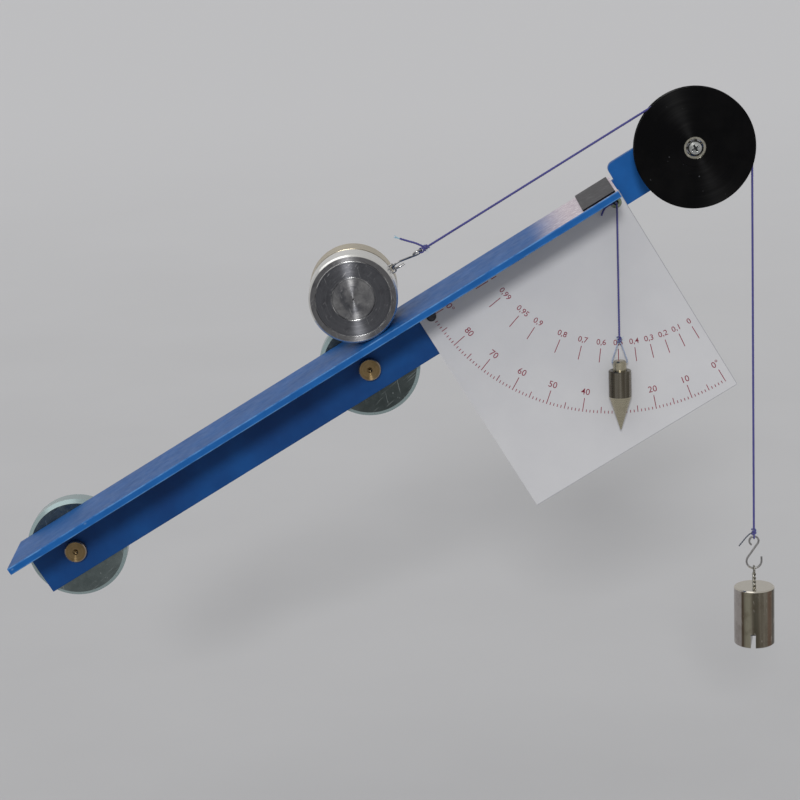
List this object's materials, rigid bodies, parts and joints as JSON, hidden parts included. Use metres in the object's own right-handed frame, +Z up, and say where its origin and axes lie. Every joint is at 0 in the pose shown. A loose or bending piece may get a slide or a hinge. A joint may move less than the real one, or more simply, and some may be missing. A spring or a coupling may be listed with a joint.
{
  "type": "pulley demonstrator",
  "caption": "Inclined plane for a magnetic board: blue rail on two magnets, aluminium roller, thread over a pulley, hanging mass, protractor card and plumb bob.",
  "frame": {"origin": "Centre of the back face of the lower magnet, where it lies on the board.", "axes": "X to the right along the board, Y into the board, Z up. The rail rises towards +X at 30 degrees."},
  "size_m": [0.4262, 0.065, 0.3159],
  "materials": {
    "painted_blue": "semi-gloss blue paint",
    "plate_steel": "dull scratched steel",
    "plated_steel": "nickel plated, polished",
    "ferrite": "dark sintered ferrite",
    "brass": "rolled brass",
    "card_white": "matt white printed sheet",
    "dark_screw": "blackened steel",
    "thread_violet": "twisted cotton thread",
    "bob_brass": "turned brass, tarnished",
    "plated_screw": "zinc plated steel",
    "spacer_metal": "turned aluminium",
    "bearing_steel": "ground bearing steel",
    "pulley_black": "glossy black moulded plastic",
    "roller_alu": "turned aluminium, scratched",
    "hook_wire": "bright steel wire",
    "eye_wire": "twisted steel wire",
    "mass_steel": "nickel plated steel, turned"
  },
  "bodies": {
    "root": {"rail": "painted_blue", "end_plate": "plate_steel", "magnet_cup_lower": "plated_steel", "magnet_cup_upper": "plated_steel", "magnet_core_lower": "ferrite", "magnet_core_upper": "ferrite", "clamp_screws": "brass", "protractor_card": "card_white", "card_screw": "dark_screw", "plumb_eyelet": "brass", "plumb_tail": "thread_violet", "pulley_bracket": "painted_blue", "bracket_screws": "plated_screw", "bracket_nuts": "plated_screw", "axle_spacer": "spacer_metal", "axle_screw": "plated_screw", "axle_nut": "plated_screw", "axle_washer": "plated_screw", "bearing_inner_ring": "bearing_steel", "bearing_balls": "bearing_steel", "thread_wrap": "thread_violet"},
    "carriage": {"roller_wire_ring": "hook_wire", "roller_hook": "hook_wire", "run_knot": "thread_violet", "thread_run": "thread_violet"},
    "roller_body": {"roller": "roller_alu"},
    "pulley": {"pulley_wheel": "pulley_black", "bearing_outer_ring": "bearing_steel"},
    "hang_line": {"thread_drop": "thread_violet", "drop_knot": "thread_violet", "mass_hook": "hook_wire"},
    "mass": {"mass_eye": "eye_wire", "mass_body": "mass_steel", "mass_pin": "dark_screw"},
    "plumb": {"plumb_line": "thread_violet", "plumb_knot": "thread_violet", "plumb_bob": "bob_brass"}
  },
  "joints": [
    {"name": "roller_travel", "type": "slide", "parent": "root", "child": "carriage", "axis": [0.866, 0, 0.5], "range_m": [-0.19, 0.12], "deforming": ["thread_run"]},
    {"name": "roller_spin", "type": "hinge", "parent": "carriage", "child": "roller_body", "pos_m": [0.16461, -0.0385, 0.14688], "axis": [0, 1, 0], "range_deg": [-450, 285]},
    {"name": "pulley_spin", "type": "hinge", "parent": "root", "child": "pulley", "pos_m": [0.35189, -0.0385, 0.2191], "axis": [0, 1, 0], "range_deg": [-351, 222]},
    {"name": "mass_drop", "type": "slide", "parent": "root", "child": "hang_line", "axis": [0, 0, 1], "range_m": [-0.12, 0.19], "deforming": ["thread_drop"]},
    {"name": "mass_swing", "type": "hinge", "parent": "hang_line", "child": "mass", "pos_m": [0.38299, -0.0385, -0.019], "axis": [0, 1, 0], "range_deg": [-20, 20]},
    {"name": "plumb_swing", "type": "hinge", "parent": "root", "child": "plumb", "pos_m": [0.31087, -0.017, 0.18756], "axis": [0, 1, 0], "range_deg": [-30, 60]}
  ],
  "couplings": [
    {"joint": "roller_spin", "follows": "roller_travel", "rad_per_m": 41.322},
    {"joint": "pulley_spin", "follows": "roller_travel", "rad_per_m": 32.154},
    {"joint": "mass_drop", "follows": "roller_travel", "ratio": -1}
  ]
}
